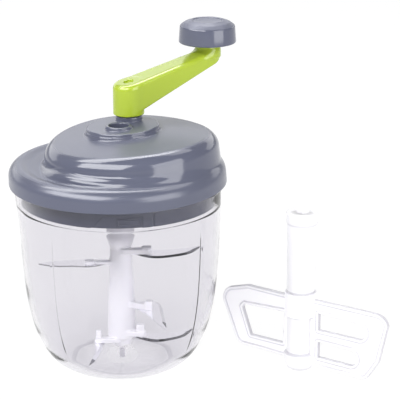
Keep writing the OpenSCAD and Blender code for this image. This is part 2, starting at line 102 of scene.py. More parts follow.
def plastic(name, lo, hi, rough=(0.22, 0.3), grain=0.02, coat=0.0, ior=1.48, sub=0.0, speck=900.0, spec=0.5, glow=0.0, dull=0.0, shade=None, dull_from=(0.86, 0.99), low=0.0):
    """Moulded plastic: slow colour drift, fine grain in roughness and bump; optional painted shade at the top and
    painted glow towards the bottom.
    """
    m, nt, b = new_mat(name)
    v = coords(nt, (1, 1, 1))
    slow = noise(nt, v, 22.0, 2.0)
    tone = ramp(nt, slow, [(0.3, lo), (0.7, hi)])
    if shade:
        # painted shade: the upper end is blended to a greyer colour, standing in for the lid's shadow on it
        height = nt.nodes.new("ShaderNodeSeparateXYZ")
        nt.links.new(v, height.inputs[0])
        painted_top_shade = nt.nodes.new("ShaderNodeMapRange")
        painted_top_shade.inputs["From Min"].default_value = 0.0905
        painted_top_shade.inputs["From Max"].default_value = 0.098
        nt.links.new(height.outputs["Z"], painted_top_shade.inputs["Value"])
        mix = nt.nodes.new("ShaderNodeMix")
        mix.data_type = "RGBA"
        nt.links.new(painted_top_shade.outputs["Result"], mix.inputs[0])
        nt.links.new(tone, mix.inputs[6])
        mix.inputs[7].default_value = (*shade, 1)
        tone = mix.outputs[2]
    nt.links.new(tone, b.inputs["Base Color"])
    fine = noise(nt, v, speck, 2.0, 0.6)
    polish = remap(nt, fine, rough[0], rough[1])
    if dull:
        # faces that look up are finely textured
        geo = nt.nodes.new("ShaderNodeNewGeometry")
        sep = nt.nodes.new("ShaderNodeSeparateXYZ")
        nt.links.new(geo.outputs["Normal"], sep.inputs[0])
        up = nt.nodes.new("ShaderNodeMapRange")
        up.inputs["From Min"].default_value = dull_from[0]
        up.inputs["From Max"].default_value = dull_from[1]
        up.inputs["To Min"].default_value = 0.0
        up.inputs["To Max"].default_value = dull
        nt.links.new(sep.outputs["Z"], up.inputs["Value"])
        add = nt.nodes.new("ShaderNodeMath")
        add.operation = "ADD"
        nt.links.new(polish, add.inputs[0])
        nt.links.new(up.outputs["Result"], add.inputs[1])
        polish = add.outputs[0]
    if low:
        # the rim below the housing has a softer finish
        hz = nt.nodes.new("ShaderNodeSeparateXYZ")
        nt.links.new(v, hz.inputs[0])
        soft = nt.nodes.new("ShaderNodeMapRange")
        soft.inputs["From Min"].default_value = 0.1515
        soft.inputs["From Max"].default_value = 0.1475
        soft.inputs["To Min"].default_value = 0.0
        soft.inputs["To Max"].default_value = low
        nt.links.new(hz.outputs["Z"], soft.inputs["Value"])
        plus = nt.nodes.new("ShaderNodeMath")
        plus.operation = "ADD"
        nt.links.new(polish, plus.inputs[0])
        nt.links.new(soft.outputs["Result"], plus.inputs[1])
        polish = plus.outputs[0]
    nt.links.new(polish, b.inputs["Roughness"])
    nt.links.new(bump(nt, fine, grain, 0.0002), b.inputs["Normal"])
    b.inputs["IOR"].default_value = ior
    b.inputs["Specular IOR Level"].default_value = spec
    if coat:
        b.inputs["Coat Weight"].default_value = coat
        b.inputs["Coat Roughness"].default_value = 0.06
    if sub:
        b.inputs["Subsurface Weight"].default_value = sub
        b.inputs["Subsurface Radius"].default_value = (1.0, 1.0, 0.9)
        b.inputs["Subsurface Scale"].default_value = 0.004
    if glow:
        # painted glow: emission standing in for light scattered inside thick white plastic, stronger towards the bottom
        b.inputs["Emission Color"].default_value = (0.97, 0.96, 1.0, 1)
        sep = nt.nodes.new("ShaderNodeSeparateXYZ")
        nt.links.new(v, sep.inputs[0])
        low = nt.nodes.new("ShaderNodeMapRange")
        low.inputs["From Min"].default_value = 0.100
        low.inputs["From Max"].default_value = 0.060
        low.inputs["To Min"].default_value = 0.0
        low.inputs["To Max"].default_value = glow
        nt.links.new(sep.outputs["Z"], low.inputs["Value"])
        nt.links.new(low.outputs["Result"], b.inputs["Emission Strength"])
    return m


def steel(name, lo, hi, rough=(0.18, 0.32), stretch=(14, 260, 60), grain=0.05):
    """Ground steel: fine streaks along the local length."""
    m, nt, b = new_mat(name)
    v = coords(nt, stretch)
    s = noise(nt, v, 12.0, 4.0, 0.65)
    nt.links.new(ramp(nt, s, [(0.25, lo), (0.75, hi)]), b.inputs["Base Color"])
    nt.links.new(remap(nt, s, rough[0], rough[1]), b.inputs["Roughness"])
    nt.links.new(bump(nt, s, grain, 0.0001), b.inputs["Normal"])
    b.inputs["Metallic"].default_value = 1.0
    return m


def blade_steel(name):
    """Polished flats with fine streaks and a faint painted glow; the ground edge and the sides, marked on the mesh,
    take a dark colour as painted shade.
    """
    m, nt, b = new_mat(name)
    s = noise(nt, coords(nt, (20, 300, 20)), 12.0, 4.0, 0.65)
    flat = ramp(nt, s, [(0.25, (0.86, 0.86, 0.885)), (0.75, (0.93, 0.93, 0.95))])
    edge = ramp(nt, s, [(0.25, (0.13, 0.13, 0.145)), (0.75, (0.20, 0.20, 0.22))])
    # painted shade: the marked sides take the dark colour
    at = nt.nodes.new("ShaderNodeAttribute")
    at.attribute_name = "ground"
    mix = nt.nodes.new("ShaderNodeMix")
    mix.data_type = "RGBA"
    nt.links.new(at.outputs["Fac"], mix.inputs[0])
    nt.links.new(flat, mix.inputs[6])
    nt.links.new(edge, mix.inputs[7])
    nt.links.new(mix.outputs[2], b.inputs["Base Color"])
    nt.links.new(remap(nt, s, 0.05, 0.12), b.inputs["Roughness"])
    nt.links.new(bump(nt, s, 0.02, 0.0001), b.inputs["Normal"])
    b.inputs["Metallic"].default_value = 1.0
    # painted glow on the flats, none on the marked sides
    painted_flat_glow = nt.nodes.new("ShaderNodeMapRange")
    painted_flat_glow.inputs["To Min"].default_value = 0.03
    painted_flat_glow.inputs["To Max"].default_value = 0.0
    nt.links.new(at.outputs["Fac"], painted_flat_glow.inputs["Value"])
    nt.links.new(painted_flat_glow.outputs["Result"], b.inputs["Emission Strength"])
    b.inputs["Emission Color"].default_value = (0.97, 0.96, 1.0, 1)
    return m


def edged_white(name, glow):
    """Bright white moulding: the raised edges, marked on the mesh, take a darker colour as painted shade; a painted
    glow brightens the rest.
    """
    m, nt, b = new_mat(name)
    v = coords(nt, (1, 1, 1))
    tone = ramp(nt, noise(nt, v, 22.0, 2.0), [(0.3, (0.88, 0.875, 0.90)), (0.7, (0.90, 0.895, 0.915))])
    at = nt.nodes.new("ShaderNodeAttribute")
    at.attribute_name = "edge"
    # painted shade colour for the marked edges
    rim = ramp(nt, noise(nt, v, 60.0, 2.0), [(0.3, (0.66, 0.65, 0.70)), (0.7, (0.70, 0.69, 0.735))])
    mix = nt.nodes.new("ShaderNodeMix")
    mix.data_type = "RGBA"
    nt.links.new(at.outputs["Fac"], mix.inputs[0])
    nt.links.new(tone, mix.inputs[6])
    nt.links.new(rim, mix.inputs[7])
    nt.links.new(mix.outputs[2], b.inputs["Base Color"])
    fine = noise(nt, v, 900.0, 2.0, 0.6)
    nt.links.new(remap(nt, fine, 0.28, 0.36), b.inputs["Roughness"])
    nt.links.new(bump(nt, fine, 0.02, 0.0002), b.inputs["Normal"])
    b.inputs["IOR"].default_value = 1.48
    b.inputs["Subsurface Weight"].default_value = 0.15
    b.inputs["Subsurface Radius"].default_value = (1.0, 1.0, 0.9)
    b.inputs["Subsurface Scale"].default_value = 0.004
    b.inputs["Emission Color"].default_value = (0.985, 0.975, 1.0, 1)
    # painted glow, none on the marked edges
    painted_glow_lift = nt.nodes.new("ShaderNodeMapRange")
    painted_glow_lift.inputs["To Min"].default_value = glow
    painted_glow_lift.inputs["To Max"].default_value = 0.0
    nt.links.new(at.outputs["Fac"], painted_glow_lift.inputs["Value"])
    nt.links.new(painted_glow_lift.outputs["Result"], b.inputs["Emission Strength"])
    return m


def clear(name, tint, thick, ior=1.5):
    """Polished clear styrene: faint waviness left by the mould. Light passes straight through it to what is inside."""
    m, nt, b = new_mat(name)
    v = coords(nt, (1, 1, 0.35))
    w = noise(nt, v, 60.0, 2.0)
    nt.links.new(bump(nt, w, 0.05, 0.0004), b.inputs["Normal"])
    fine = noise(nt, coords(nt, (1, 1, 1)), 400.0, 2.0)
    nt.links.new(remap(nt, fine, 0.0, 0.05), b.inputs["Roughness"])
    # the thicker foot takes up more light
    sep = nt.nodes.new("ShaderNodeSeparateXYZ")
    nt.links.new(coords(nt, (1, 1, 1)), sep.inputs[0])
    foot = nt.nodes.new("ShaderNodeMapRange")
    foot.inputs["From Min"].default_value = 0.001
    foot.inputs["From Max"].default_value = 0.036
    nt.links.new(sep.outputs["Z"], foot.inputs["Value"])
    deep = tuple(c * 0.93 for c in thick)
    body = ramp(nt, foot.outputs["Result"], [(0.0, deep), (0.2, thick), (1.0, tint)])
    # painted shade: the corners of the foot, marked on the mesh, are tinted darker to draw the dark outlines of the
    # foot
    at = nt.nodes.new("ShaderNodeAttribute")
    at.attribute_name = "edge"
    corner = ramp(nt, w, [(0.3, (0.50, 0.49, 0.54)), (0.7, (0.55, 0.54, 0.59))])
    ring = nt.nodes.new("ShaderNodeMix")
    ring.data_type = "RGBA"
    nt.links.new(at.outputs["Fac"], ring.inputs[0])
    nt.links.new(body, ring.inputs[6])
    nt.links.new(corner, ring.inputs[7])
    nt.links.new(ring.outputs[2], b.inputs["Base Color"])
    b.inputs["Transmission Weight"].default_value = 1.0
    b.inputs["IOR"].default_value = ior
    out = b.outputs[0].links[0].to_node
    lp = nt.nodes.new("ShaderNodeLightPath")
    either = nt.nodes.new("ShaderNodeMath")
    either.operation = "MAXIMUM"
    nt.links.new(lp.outputs["Is Shadow Ray"], either.inputs[0])
    nt.links.new(lp.outputs["Is Diffuse Ray"], either.inputs[1])
    tr = nt.nodes.new("ShaderNodeBsdfTransparent")
    tr.inputs[0].default_value = (0.97, 0.965, 0.98, 1)
    mx = nt.nodes.new("ShaderNodeMixShader")
    nt.links.new(either.outputs[0], mx.inputs[0])
    nt.links.new(b.outputs[0], mx.inputs[1])
    nt.links.new(tr.outputs[0], mx.inputs[2])
    nt.links.new(mx.outputs[0], out.inputs[0])
    return m


SLATE = plastic("slate_gloss", (0.109, 0.117, 0.170), (0.118, 0.127, 0.180), (0.09, 0.14), 0.012, dull=0.24, low=0.13)
SLATE_KNOB = plastic("slate_knob", (0.109, 0.117, 0.170), (0.118, 0.127, 0.180), (0.09, 0.14), 0.012, dull=0.34, dull_from=(0.45, 0.8))
SLATE_IN = plastic("slate_inner", (0.050, 0.056, 0.090), (0.060, 0.066, 0.100), (0.3, 0.4), 0.03)
DARK = plastic("dark_satin", (0.018, 0.02, 0.028), (0.03, 0.032, 0.042), (0.4, 0.5), 0.05)
LIME = plastic("lime_gloss", (0.425, 0.550, 0.036), (0.445, 0.575, 0.043), (0.12, 0.18), 0.012)
WHITE = plastic("white_satin", (0.86, 0.855, 0.885), (0.885, 0.88, 0.905), (0.28, 0.36), 0.02, sub=0.15)
# painted shade: the rotor column is painted greyer at its top, under the lid
WHITE_IN = plastic("white_rotor", (0.88, 0.875, 0.905), (0.905, 0.90, 0.925), (0.3, 0.38), 0.02, sub=0.15, shade=(0.64, 0.63, 0.67))
# painted glow and painted edge shade on the paddle and its post
WHITE_PAD = edged_white("white_paddle", 0.15)
WHITE_POST = edged_white("white_post", 0.05)
STEEL = steel("machined_steel", (0.5, 0.5, 0.52), (0.68, 0.68, 0.7))
PIN = steel("pin_steel", (0.80, 0.80, 0.82), (0.90, 0.90, 0.92))
BLADE = blade_steel("ground_blade")
CLEAR = clear("clear_styrene", (0.862, 0.853, 0.880), (0.800, 0.790, 0.826), 1.36)


# ------------------------------------------------------------------ mesh tools
def put(name, me, mat, body, nodes, smooth=True):
    o = bpy.data.objects.new(name, me)
    scene.collection.objects.link(o)
    me.materials.append(mat)
    if smooth:
        me.polygons.foreach_set("use_smooth", [True] * len(me.polygons))
    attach(o, body)
    if nodes:
        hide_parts(*nodes)
    return o


def nets(f, lo, hi, h):
    """Surface of f = 0 as quads on a grid of step h, each vertex moved onto the surface. Millimetres."""
    lo, hi = np.array(lo, float), np.array(hi, float)
    n = np.ceil((hi - lo) / h).astype(int) + 1
    ax = [lo[i] + h * np.arange(n[i]) for i in range(3)]
    V = np.empty(tuple(n), np.float32)
    step = max(1, int(2e6 // (n[1] * n[2])))
    for a in range(0, n[0], step):
        X, Y, Z = np.meshgrid(ax[0][a:a + step], ax[1], ax[2], indexing="ij")
        V[a:a + step] = f(X, Y, Z)
    S = V < 0
    corner = [(i, j, k) for i in (0, 1) for j in (0, 1) for k in (0, 1)]
    m = tuple(n - 1)

    def sub(A, c):
        return A[c[0]:c[0] + m[0], c[1]:c[1] + m[1], c[2]:c[2] + m[2]]
    total = sum(sub(S, c).astype(np.int8) for c in corner)
    act = (total > 0) & (total < 8)
    idx = -np.ones(m, np.int64)
    I, J, K = np.nonzero(act)
    idx[I, J, K] = np.arange(len(I))
    P = np.zeros((len(I), 3))
    C = np.zeros(len(I))
    edges = []
    for c in corner:
        for d in range(3):
            if c[d] == 0:
                e = list(c)
                e[d] = 1
                edges.append((c, tuple(e), d))
    for a, b, d in edges:
        va = V[I + a[0], J + a[1], K + a[2]].astype(float)
        vb = V[I + b[0], J + b[1], K + b[2]].astype(float)
        cr = (va < 0) != (vb < 0)
        t = np.where(cr, va / np.where(cr, va - vb, 1), 0)
        q = np.array(a, float)[None, :] + 0 * P
        q[:, d] += t
        P[cr] += q[cr]
        C[cr] += 1
    P = P / C[:, None] + np.stack([I, J, K], 1)
    P = lo + h * P
    start = P.copy()
    e = 0.02
    for _ in range(4):
        v = f(P[:, 0], P[:, 1], P[:, 2])
        g = grad(f, P, e)
        g2 = np.maximum((g * g).sum(1), 0.05)
        P = P - (v / g2)[:, None] * g
        d = P - start
        L = np.maximum(np.linalg.norm(d, axis=1) / (0.75 * h), 1)
        P = start + d / L[:, None]
    quads = []
    for d in range(3):
        o = [slice(None)] * 3
        u, w = (d + 1) % 3, (d + 2) % 3
        A = [slice(0, n[0]), slice(0, n[1]), slice(0, n[2])]
        A[d] = slice(0, n[d] - 1)
        B = list(A)
        B[d] = slice(1, n[d])
        for s in (u, w):
            A[s] = slice(1, n[s] - 1)
            B[s] = slice(1, n[s] - 1)
        sa, sb = S[tuple(A)], S[tuple(B)]
        i, j, k = np.nonzero(sa != sb)
        base = np.stack([i, j, k], 1)
        off = np.zeros(3, int)
        off[u] = 1
        off[w] = 1
        base = base + off
        cells = []
        for du, dw in ((0, 0), (-1, 0), (-1, -1), (0, -1)):
            cpos = base.copy()
            cpos[:, u] += du
            cpos[:, w] += dw
            cells.append(idx[cpos[:, 0], cpos[:, 1], cpos[:, 2]])
        q = np.stack(cells, 1)
        inside_first = sa[i, j, k]
        q[~inside_first] = q[~inside_first][:, ::-1]
        quads.append(q)
    Q = np.concatenate(quads)
    Q = Q[(Q >= 0).all(1)]
    return P, Q


def grad(f, P, e):
    g = np.empty_like(P)
    for i in range(3):
        a = P.copy()
        b = P.copy()
        a[:, i] += e
        b[:, i] -= e
        g[:, i] = (f(a[:, 0], a[:, 1], a[:, 2]) - f(b[:, 0], b[:, 1], b[:, 2])) / (2 * e)
    return g


def sdf_piece(name, f, lo, hi, h, mat, body, nodes, place=None):
    P, Q = nets(f, lo, hi, h)
    N = grad(f, P, 0.05)
    N /= np.maximum(np.linalg.norm(N, axis=1), 1e-9)[:, None]
    if place is not None:
        R, t = place
        P = P @ R.T + t
        N = N @ R.T
    me = mesh_of(name, P * MM, Q)
    # keep the outward sense of the faces in line with the field
    me.polygons.foreach_set("use_smooth", [True] * len(me.polygons))
    me.normals_split_custom_set_from_vertices(N.tolist())
    return put(name, me, mat, body, nodes)


def mesh_of(name, P, faces):
    me = bpy.data.meshes.new(name)
    me.from_pydata([tuple(p) for p in np.asarray(P, float)], [], [tuple(int(i) for i in q) for q in faces])
    me.validate()
    me.update()
    return me


def smin(a, b, k):
    h = np.maximum(k - np.abs(a - b), 0) / k
    return np.minimum(a, b) - h * h * k * 0.25


def smax(a, b, k):
    return -smin(-a, -b, k)


def round_cyl(r, z, R, H, f):
    """Cylinder of radius R topped at H with edge fillet f, endless downward."""
    a, b = r - (R - f), z - (H - f)
    return np.hypot(np.maximum(a, 0), np.maximum(b, 0)) + np.minimum(np.maximum(a, b), 0) - f


def round_slab(d, z, lo, hi, f):
    """Extrusion of a flat distance d from lo to hi with edge fillet f."""
    a = d + f
    b = np.abs(z - (lo + hi) / 2) - (hi - lo) / 2 + f
    return np.hypot(np.maximum(a, 0), np.maximum(b, 0)) + np.minimum(np.maximum(a, b), 0) - f


def sstep(x, a, b):
    t = np.clip((x - a) / (b - a), 0, 1)
    return t * t * (3 - 2 * t)


def poly_sdf(x, y, pts):
    """Signed distance to a closed polygon, negative inside."""
    pts = np.asarray(pts, float)
    d = np.full(np.shape(x), 1e9)
    s = np.ones(np.shape(x))
    n = len(pts)
    for i in range(n):
        a, b = pts[i], pts[i - 1]
        ex, ey = b[0] - a[0], b[1] - a[1]
        wx, wy = x - a[0], y - a[1]
        t = np.clip((wx * ex + wy * ey) / (ex * ex + ey * ey + 1e-12), 0, 1)
        dx, dy = wx - ex * t, wy - ey * t
        d = np.minimum(d, dx * dx + dy * dy)
        c1, c2, c3 = y >= a[1], y < b[1], ex * wy > ey * wx
        flip = (c1 & c2 & c3) | (~c1 & ~c2 & ~c3)
        s = np.where(flip, -s, s)
    return s * np.sqrt(d)


def curve(pts, n, closed=False):
    """Smooth curve through pts (centripetal Catmull-Rom), n points evenly along it."""
    p = np.asarray(pts, float)
    if closed:
        p = np.vstack([p[-1:], p, p[:2]])
    else:
        p = np.vstack([2 * p[0] - p[1], p, 2 * p[-1] - p[-2]])
    out = []
    for i in range(1, len(p) - 2):
        p0, p1, p2, p3 = p[i - 1], p[i], p[i + 1], p[i + 2]
        t0 = 0.0
        t1 = t0 + max(np.linalg.norm(p1 - p0), 1e-6) ** 0.5
        t2 = t1 + max(np.linalg.norm(p2 - p1), 1e-6) ** 0.5
        t3 = t2 + max(np.linalg.norm(p3 - p2), 1e-6) ** 0.5
        for t in np.linspace(t1, t2, 24, endpoint=False):
            a1 = (t1 - t) / (t1 - t0) * p0 + (t - t0) / (t1 - t0) * p1
            a2 = (t2 - t) / (t2 - t1) * p1 + (t - t1) / (t2 - t1) * p2
            a3 = (t3 - t) / (t3 - t2) * p2 + (t - t2) / (t3 - t2) * p3
            b1 = (t2 - t) / (t2 - t0) * a1 + (t - t0) / (t2 - t0) * a2
            b2 = (t3 - t) / (t3 - t1) * a2 + (t - t1) / (t3 - t1) * a3
            out.append((t2 - t) / (t2 - t1) * b1 + (t - t1) / (t2 - t1) * b2)
    if not closed:
        out.append(p[-2])
    q = np.array(out)
    if closed:
        q = np.vstack([q, q[:1]])
    L = np.concatenate([[0], np.cumsum(np.linalg.norm(np.diff(q, axis=0), axis=1))])
    s = np.linspace(0, L[-1], n + (1 if closed else 0))
    r = np.stack([np.interp(s, L, q[:, k]) for k in range(q.shape[1])], 1)
    return r[:-1] if closed else r


def fillet(pts, radii, seg=7):
    """Open polyline with each inner corner rounded to its radius."""
    p = [np.array(q, float) for q in pts]
    out = [p[0]]
    for i in range(1, len(p) - 1):
        r = radii[i] if isinstance(radii, (list, tuple)) else radii
        a, b, c = p[i - 1], p[i], p[i + 1]
        u, v = a - b, c - b
        lu, lv = np.linalg.norm(u), np.linalg.norm(v)
        u, v = u / lu, v / lv
        ang = math.acos(max(-1, min(1, float(u @ v))))
        if r <= 0 or ang > pi - 0.02:
            out.append(b)
            continue
        t = min(r / math.tan(ang / 2), 0.48 * lu, 0.48 * lv)
        rr = t * math.tan(ang / 2)
        s, e = b + u * t, b + v * t
        cdir = (u + v) / np.linalg.norm(u + v)
        cen = b + cdir * (rr / math.sin(ang / 2))
        a0 = math.atan2(*(s - cen)[::-1])
        a1 = math.atan2(*(e - cen)[::-1])
        d = (a1 - a0 + pi) % (2 * pi) - pi
        for k in range(seg + 1):
            w = a0 + d * k / seg
            out.append(cen + rr * np.array([math.cos(w), math.sin(w)]))
    out.append(p[-1])
    return np.array(out)


def lathe(name, prof, seg, mat, body, nodes, centre=(0, 0), shape=None, flip=False):
    """Turned piece. prof runs from the axis, or closed, as (r, z); shape(theta, r, z) may change r."""
    th = np.linspace(0, 2 * pi, seg, endpoint=False) if np.isscalar(seg) else np.asarray(seg)
    n, m = len(prof), len(th)
    first_pole, last_pole = prof[0][0] < 1e-6, prof[-1][0] < 1e-6
    closed = not first_pole and not last_pole
    rows, V, F = [], [], []
    for i, (r, z) in enumerate(prof):
        if (i == 0 and first_pole) or (i == n - 1 and last_pole):
            rows.append([len(V)])
            V.append((centre[0], centre[1], z))
            continue
        rr = np.full(m, r, float) if shape is None else shape(th, r, z, i)
        rows.append(list(range(len(V), len(V) + m)))
        V += [(centre[0] + rr[k] * math.cos(th[k]), centre[1] + rr[k] * math.sin(th[k]), z) for k in range(m)]
    last = n if closed else n - 1
    for i in range(last):
        a, b = rows[i], rows[(i + 1) % n]
        for k in range(m):
            k2 = (k + 1) % m
            if len(a) == 1 and len(b) == 1:
                continue
            if len(a) == 1:
                f = (a[0], b[k2], b[k])
            elif len(b) == 1:
                f = (a[k], a[k2], b[0])
            else:
                f = (a[k], a[k2], b[k2], b[k])
            F.append(f[::-1] if flip else f)
    me = mesh_of(name, np.array(V) * MM, F)
    return put(name, me, mat, body, nodes)


# ------------------------------------------------------------------ bowl
BOWL_OUT = [(33.6, 0), (37, 0.8), (41.4, 2.8), (46.0, 5.5), (49.8, 8.3), (52.5, 11.3), (55.0, 15), (57.7, 20),
            (60.1, 25), (62.3, 31), (64.2, 38), (65.9, 46), (67.3, 55), (68.4, 65), (69.2, 75), (69.9, 87),
            (70.4, 100), (70.8, 112), (71.1, 125), (71.15, 131.5)]
BOWL_IN = [(36.0, 4.2), (41.8, 6.1), (46.8, 9.8), (51, 14.5), (54.6, 20), (57.7, 27), (60.2, 34), (62, 41), (63.4, 48),
           (64.5, 55), (65.8, 65), (66.6, 75), (67.35, 88), (67.8, 100), (68.0, 111), (68.0, 120.6)]


def bowl_piece():
    outer = curve(BOWL_OUT, 96)
    inner = curve(BOWL_IN, 92)
    floor_out = [(0, 0), (12, 0), (24, 0), (31, 0)]
    lip = fillet([tuple(outer[-1]), (71.2, 132.6), (71.8, 133.3), (71.8, 135.2), (68.6, 135.2), (68.6, 121.7), (68.0, 120.9)],
                 [0, 0.4, 0.4, 0.5, 0.5, 0.3, 0], 3)
    boss = fillet([tuple(inner[0]), (30, 4.2), (11.4, 4.2), (6.6, 12.5), (2.5, 12.5), (2.5, 2.4), (0, 2.4)],
                  [0, 0, 1.2, 0.8, 0.1, 0.05, 0], 4)
    prof = [tuple(p) for p in floor_out] + [tuple(p) for p in outer] + [tuple(p) for p in lip[1:-1]]
    first_in = len(prof)
    prof += [tuple(p) for p in inner[::-1]] + [tuple(p) for p in boss[1:]]
    top_in = len(floor_out) + len(outer) + len(lip) - 2
    rib_at = np.radians([66, 145, 230, 326])
    th = list(np.linspace(0, 2 * pi, 240, endpoint=False))
    for a in rib_at:
        th += [a + math.radians(d) for d in (-1.9, -1.5, -1.25, -1.05, -0.85, -0.5, 0, 0.5, 0.85, 1.05, 1.25, 1.5, 1.9)]
    th = np.array(sorted(t % (2 * pi) for t in th))
    th = th[np.concatenate([[True], np.diff(th) > 1e-4])]
    lip_half = len(floor_out) + len(outer) + (len(lip) - 2) // 2

    def shape(t, r, z, i):
        rr = np.full(len(t), r, float)
        wall_in = i >= lip_half
        if z > 92 and r > 60:
            R = 40.2 + (z - 103) * (4.3 / 32.2)
            off = 0.0
            if not wall_in and z > 132:
                off = max(0.0, r - 71.15)
                R = 40.2 + (132 - 103) * (4.3 / 32.2) + (z - 132) * (4.3 / 32.2)
            if wall_in:
                R -= 2.4
            s = -30 * np.cos(t) + np.sqrt(np.maximum(R * R - 900 * np.sin(t) ** 2, 0.01))
            if wall_in:
                # only the base wall takes part in the small step below the lip
                base = r
                rr = smax(np.full(len(t), base, float), s, 2.4)
            else:
                rr = smax(np.full(len(t), r - off, float), s, 2.4) + off
        if i >= first_in and 52 < r and 18 < z < 117:
            for a in rib_at:
                d = np.abs((t - a + pi) % (2 * pi) - pi) * r
                h = 0.24 * sstep(z, 19, 27) * (1 - sstep(z, 104, 116))
                rr = rr - h * (1 - sstep(d, 0.1, 1.9))
        return rr
    o = lathe("bowl_shell", prof, th, CLEAR, "base", ["bowl"], shape=shape)
    me = o.data
    P = np.empty(len(me.vertices) * 3)
    me.vertices.foreach_get("co", P)
    P = P.reshape(-1, 3) / MM
    r, z = np.hypot(P[:, 0], P[:, 1]), P[:, 2]
    # painted shade: the outer corner of the foot and the ring at its floor are marked for a darker tint
    outer_ring = ((r > 30.5) & (z < 0.9)) * 0.9
    inner_ring = (np.abs(z - 4.6) < 0.45) * (r > 27) * (r < 36) * 0.5
    me.attributes.new("edge", "FLOAT", "POINT").data.foreach_set("value", np.maximum(outer_ring, inner_ring).astype(np.float32))
    return o


bowl_piece()

# ------------------------------------------------------------------ lid
RIM_X, DX, DY = -1.9, 8.0, 2.0
SHOULDER = [(-154, 162.3), (-122, 165.0), (-100, 166.6), (-81, 168.4), (-60, 170.2), (-34, 171.2), (-14, 170.4),
            (9, 169.6), (46, 168.4), (77, 168.2), (110, 168.0), (144, 165.4), (164, 162.4)]


def shoulder_table():
    a = np.radians([s[0] for s in SHOULDER])
    h = np.array([s[1] for s in SHOULDER])
    cols = [np.ones_like(a)]
    for k in (1, 2, 3):
        cols += [np.cos(k * a), np.sin(k * a)]
    A = np.stack(cols, 1)
    reg = np.diag([0, 0, 0, 0.15, 0.15, 0.5, 0.5])
    return np.linalg.solve(A.T @ A + reg, A.T @ h)


SH = shoulder_table()


def dome_top(x, y):
    u, v = x - DX, y - DY
    r = np.hypot(u, v)
    t = np.arctan2(v, u)
    q = np.minimum(r / 60.8, 1.25)
    k1 = (SH[1] * np.cos(t) + SH[2] * np.sin(t)) * q
    k2 = (SH[3] * np.cos(2 * t) + SH[4] * np.sin(2 * t)) * q ** 2.5
    k3 = (SH[5] * np.cos(3 * t) + SH[6] * np.sin(3 * t)) * q ** 3.5
    return SH[0] + k1 + k2 + k3 + 3.6 * (1 - np.minimum(q, 1) ** 2) - 0.6


def lid_outer(x, y, z):
    r1 = np.hypot(x - RIM_X, y)
    H = 150.3 - 1.5 * (1 - sstep(r1, 60.0, 67.5))
    rim = round_cyl(r1, z, 75.25, H, 8.0)
    # the low step fades out on the left, where the housing stands straight on the rim
    r2 = np.hypot(x - 5.5, y + 5.0)
    c2 = ((x - 5.5) * 0.5 - (y + 5.0) * 0.866) / np.maximum(r2, 1e-6)
    tier = round_cyl(r2 + (z - 152) * 0.12, z, 59.6, 149.6 + 4.8 * sstep(c2, -0.42, 0.3), 3.6)
    r3 = np.hypot(x - DX, y - DY)
    c3 = ((x - DX) * 0.9397 - (y - DY) * 0.342) / np.maximum(r3, 1e-6)
    k = sstep(c3, -1.0, 0.75)
    flare = k * (np.clip(167 - z, 0, 30) * 0.135 + 1.6 * (1 - sstep(z, 146, 153)))
    top = dome_top(x, y) + 0.5
    dome = round_cyl(r3 - flare, z - top, 60.2 + 0.7 * k, 0.0, 7.6) * 0.98
    body = smin(rim, tier, 2.4)
    body = smin(body, dome, 2.6 + 1.6 * k)
    r4 = np.hypot(x - 2.4, y - 8)
    zt = 174.0 + (x - 2.4) * 0.056
    disc = smin(round_cyl(r4, z - zt, 25.3, 0.0, 0.8), round_cyl(r4, z - zt, 26.0, -2.2, 0.5), 0.8)
    body = smin(body, disc, 1.6)
    boss = round_cyl(np.hypot(x - 6.3, y - 21.079), z, 9.4, 178.3, 0.8)
    body = smin(body, boss, 1.0)
    col = round_cyl(np.hypot(x, y), z, 9.2, 176.2, 0.9)
    return smin(body, col, 1.2)


def lid_field(x, y, z):
    o = lid_outer(x, y, z)
    r = np.hypot(x, y)
    inner = -(o + 2.6)
    floor = 135.5 - z
    f = smax(o, inner, 0.6)
    f = smax(f, floor, 1.0)
    # the seat in the collar, with its floor
    hole = np.maximum(r - 6.9, 169.6 - z)
    plug = np.maximum(r - 9.2, np.maximum(z - 169.9, 166.4 - z))
    tube = np.maximum(r - 9.2, np.maximum(z - 176.0, 161.5 - z))
    f = np.minimum(f, smax(tube, o, 0.3))
    f = np.minimum(f, np.maximum(plug, o))
    return smax(f, -hole, 0.5)


sdf_piece("lid_shell", lid_field, (-79.2, -77.6, 133.6), (75.6, 77.6, 181.2), 0.86, SLATE, "lid", ["lid_cover"])


